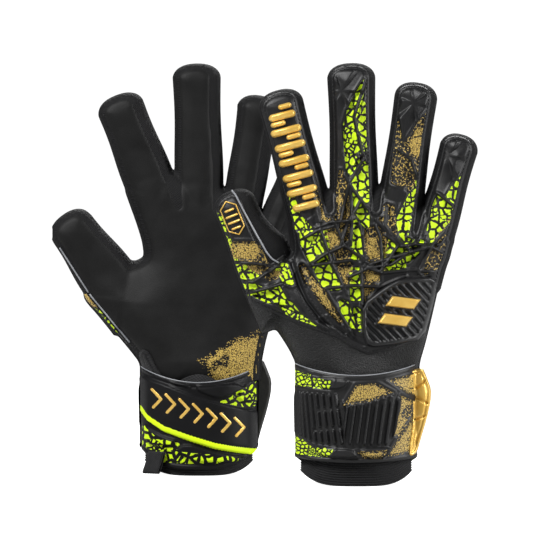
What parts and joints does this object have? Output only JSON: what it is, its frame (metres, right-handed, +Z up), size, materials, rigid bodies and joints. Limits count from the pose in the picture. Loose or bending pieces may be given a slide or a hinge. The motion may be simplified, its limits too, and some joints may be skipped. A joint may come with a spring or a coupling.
{
  "type": "goalkeeper gloves",
  "caption": "Pair of padded goalkeeper gloves with smooth latex palms, embossed backs, wrist straps with moulded pull tabs and elastic cuffs.",
  "frame": {"origin": "on the floor under the middle of the pair, between the two gloves", "axes": "+Z up along the hands, from the cuffs to the fingertips; +X from the left glove to the right glove; -Y towards the side that shows the left palm and the right back"},
  "size_m": [0.2777, 0.176, 0.2701],
  "materials": {
    "palm_latex": "matte",
    "embossed_foam": "satin",
    "mesh": "matte",
    "lining": "matte",
    "padded_band": "satin",
    "elastic": "matte",
    "closure": "matte",
    "ribbed_rubber": "satin",
    "gold_moulding": "satin",
    "gusset_textile": "matte",
    "webbing": "matte"
  },
  "bodies": {
    "left_hand": {"left_palm_foam": "palm_latex", "left_back_panel": "embossed_foam", "left_back_mesh": "mesh", "left_hand_lining": "lining", "left_wrist_gaiter": "mesh", "left_bandage": "padded_band", "left_elastic_cuff": "elastic", "left_loop_patch": "closure", "left_punch_pad": "ribbed_rubber", "left_emblem": "gold_moulding"},
    "left_thumb": {"left_thumb_foam": "palm_latex", "left_thumb_gusset": "gusset_textile", "left_thumb_back": "embossed_foam"},
    "left_index": {"left_index_foam": "palm_latex", "left_index_gusset": "gusset_textile", "left_index_back": "embossed_foam", "left_index_bars": "gold_moulding"},
    "left_middle": {"left_middle_foam": "palm_latex", "left_middle_gusset": "gusset_textile", "left_middle_back": "embossed_foam"},
    "left_ring": {"left_ring_foam": "palm_latex", "left_ring_gusset": "gusset_textile", "left_ring_back": "embossed_foam"},
    "left_little": {"left_little_foam": "palm_latex", "left_little_gusset": "gusset_textile", "left_little_back": "embossed_foam"},
    "left_strap": {"left_strap": "ribbed_rubber", "left_strap_tab": "gold_moulding", "left_hook_patch": "closure"},
    "left_pull_loop": {"left_pull_loop": "webbing"},
    "right_hand": {"right_palm_foam": "palm_latex", "right_back_panel": "embossed_foam", "right_back_mesh": "mesh", "right_hand_lining": "lining", "right_wrist_gaiter": "mesh", "right_bandage": "padded_band", "right_elastic_cuff": "elastic", "right_loop_patch": "closure", "right_punch_pad": "ribbed_rubber", "right_emblem": "gold_moulding"},
    "right_thumb": {"right_thumb_foam": "palm_latex", "right_thumb_gusset": "gusset_textile", "right_thumb_back": "embossed_foam"},
    "right_index": {"right_index_foam": "palm_latex", "right_index_gusset": "gusset_textile", "right_index_back": "embossed_foam", "right_index_bars": "gold_moulding"},
    "right_middle": {"right_middle_foam": "palm_latex", "right_middle_gusset": "gusset_textile", "right_middle_back": "embossed_foam"},
    "right_ring": {"right_ring_foam": "palm_latex", "right_ring_gusset": "gusset_textile", "right_ring_back": "embossed_foam"},
    "right_little": {"right_little_foam": "palm_latex", "right_little_gusset": "gusset_textile", "right_little_back": "embossed_foam"},
    "right_strap": {"right_strap": "ribbed_rubber", "right_strap_tab": "gold_moulding", "right_hook_patch": "closure"},
    "right_pull_loop": {"right_pull_loop": "webbing"}
  },
  "joints": [
    {"name": "gloves_apart", "type": "slide", "parent": "left_hand", "child": "right_hand", "axis": [0, -1, 0], "range_m": [0, 0.15]},
    {"name": "left_thumb_flex", "type": "hinge", "parent": "left_hand", "child": "left_thumb", "pos_m": [-0.10895, 0.057, 0.14061], "axis": [0.809, 0, 0.5878], "range_deg": [-5, 50], "stiffness_Nm_per_rad": 0.08},
    {"name": "left_index_flex", "type": "hinge", "parent": "left_hand", "child": "left_index", "pos_m": [-0.07948, 0.057, 0.20503], "axis": [0.9304, 0, 0.3665], "range_deg": [-10, 75], "stiffness_Nm_per_rad": 0.08},
    {"name": "left_middle_flex", "type": "hinge", "parent": "left_hand", "child": "left_middle", "pos_m": [-0.0422, 0.057, 0.2026], "axis": [0.9997, 0, 0.0244], "range_deg": [-10, 75], "stiffness_Nm_per_rad": 0.08},
    {"name": "left_ring_flex", "type": "hinge", "parent": "left_hand", "child": "left_ring", "pos_m": [-0.01044, 0.057, 0.19453], "axis": [0.9863, 0, -0.165], "range_deg": [-10, 75], "stiffness_Nm_per_rad": 0.08},
    {"name": "left_little_flex", "type": "hinge", "parent": "left_hand", "child": "left_little", "pos_m": [0.01398, 0.057, 0.17819], "axis": [0.9272, 0, -0.3746], "range_deg": [-10, 75], "stiffness_Nm_per_rad": 0.08},
    {"name": "left_strap_open", "type": "hinge", "parent": "left_hand", "child": "left_strap", "pos_m": [-0.0807, 0.057, 0.0445], "axis": [0, 0, 1], "range_deg": [0, 100]},
    {"name": "left_loop_swing", "type": "hinge", "parent": "left_hand", "child": "left_pull_loop", "pos_m": [-0.06879, 0.03179, 0.0144], "axis": [-0.8392, 0.5438, 0], "range_deg": [0, 100]},
    {"name": "right_thumb_flex", "type": "hinge", "parent": "right_hand", "child": "right_thumb", "pos_m": [-0.00438, -0.057, 0.14499], "axis": [-0.9272, 0, -0.3746], "range_deg": [-5, 50], "stiffness_Nm_per_rad": 0.08},
    {"name": "right_index_flex", "type": "hinge", "parent": "right_hand", "child": "right_index", "pos_m": [0.02706, -0.057, 0.18387], "axis": [-0.9659, 0, -0.2588], "range_deg": [-10, 75], "stiffness_Nm_per_rad": 0.08},
    {"name": "right_middle_flex", "type": "hinge", "parent": "right_hand", "child": "right_middle", "pos_m": [0.05847, -0.057, 0.1888], "axis": [-0.9997, 0, -0.0262], "range_deg": [-10, 75], "stiffness_Nm_per_rad": 0.08},
    {"name": "right_ring_flex", "type": "hinge", "parent": "right_hand", "child": "right_ring", "pos_m": [0.08947, -0.057, 0.18356], "axis": [-0.9888, 0, 0.1495], "range_deg": [-10, 75], "stiffness_Nm_per_rad": 0.08},
    {"name": "right_little_flex", "type": "hinge", "parent": "right_hand", "child": "right_little", "pos_m": [0.11464, -0.057, 0.17192], "axis": [-0.9613, 0, 0.2756], "range_deg": [-10, 75], "stiffness_Nm_per_rad": 0.08},
    {"name": "right_strap_open", "type": "hinge", "parent": "right_hand", "child": "right_strap", "pos_m": [0.0213, -0.057, 0.0445], "axis": [0, 0, -1], "range_deg": [0, 100]},
    {"name": "right_loop_swing", "type": "hinge", "parent": "right_hand", "child": "right_pull_loop", "pos_m": [0.03321, -0.03179, 0.0144], "axis": [0.8392, 0.5438, 0], "range_deg": [0, 100]}
  ]
}
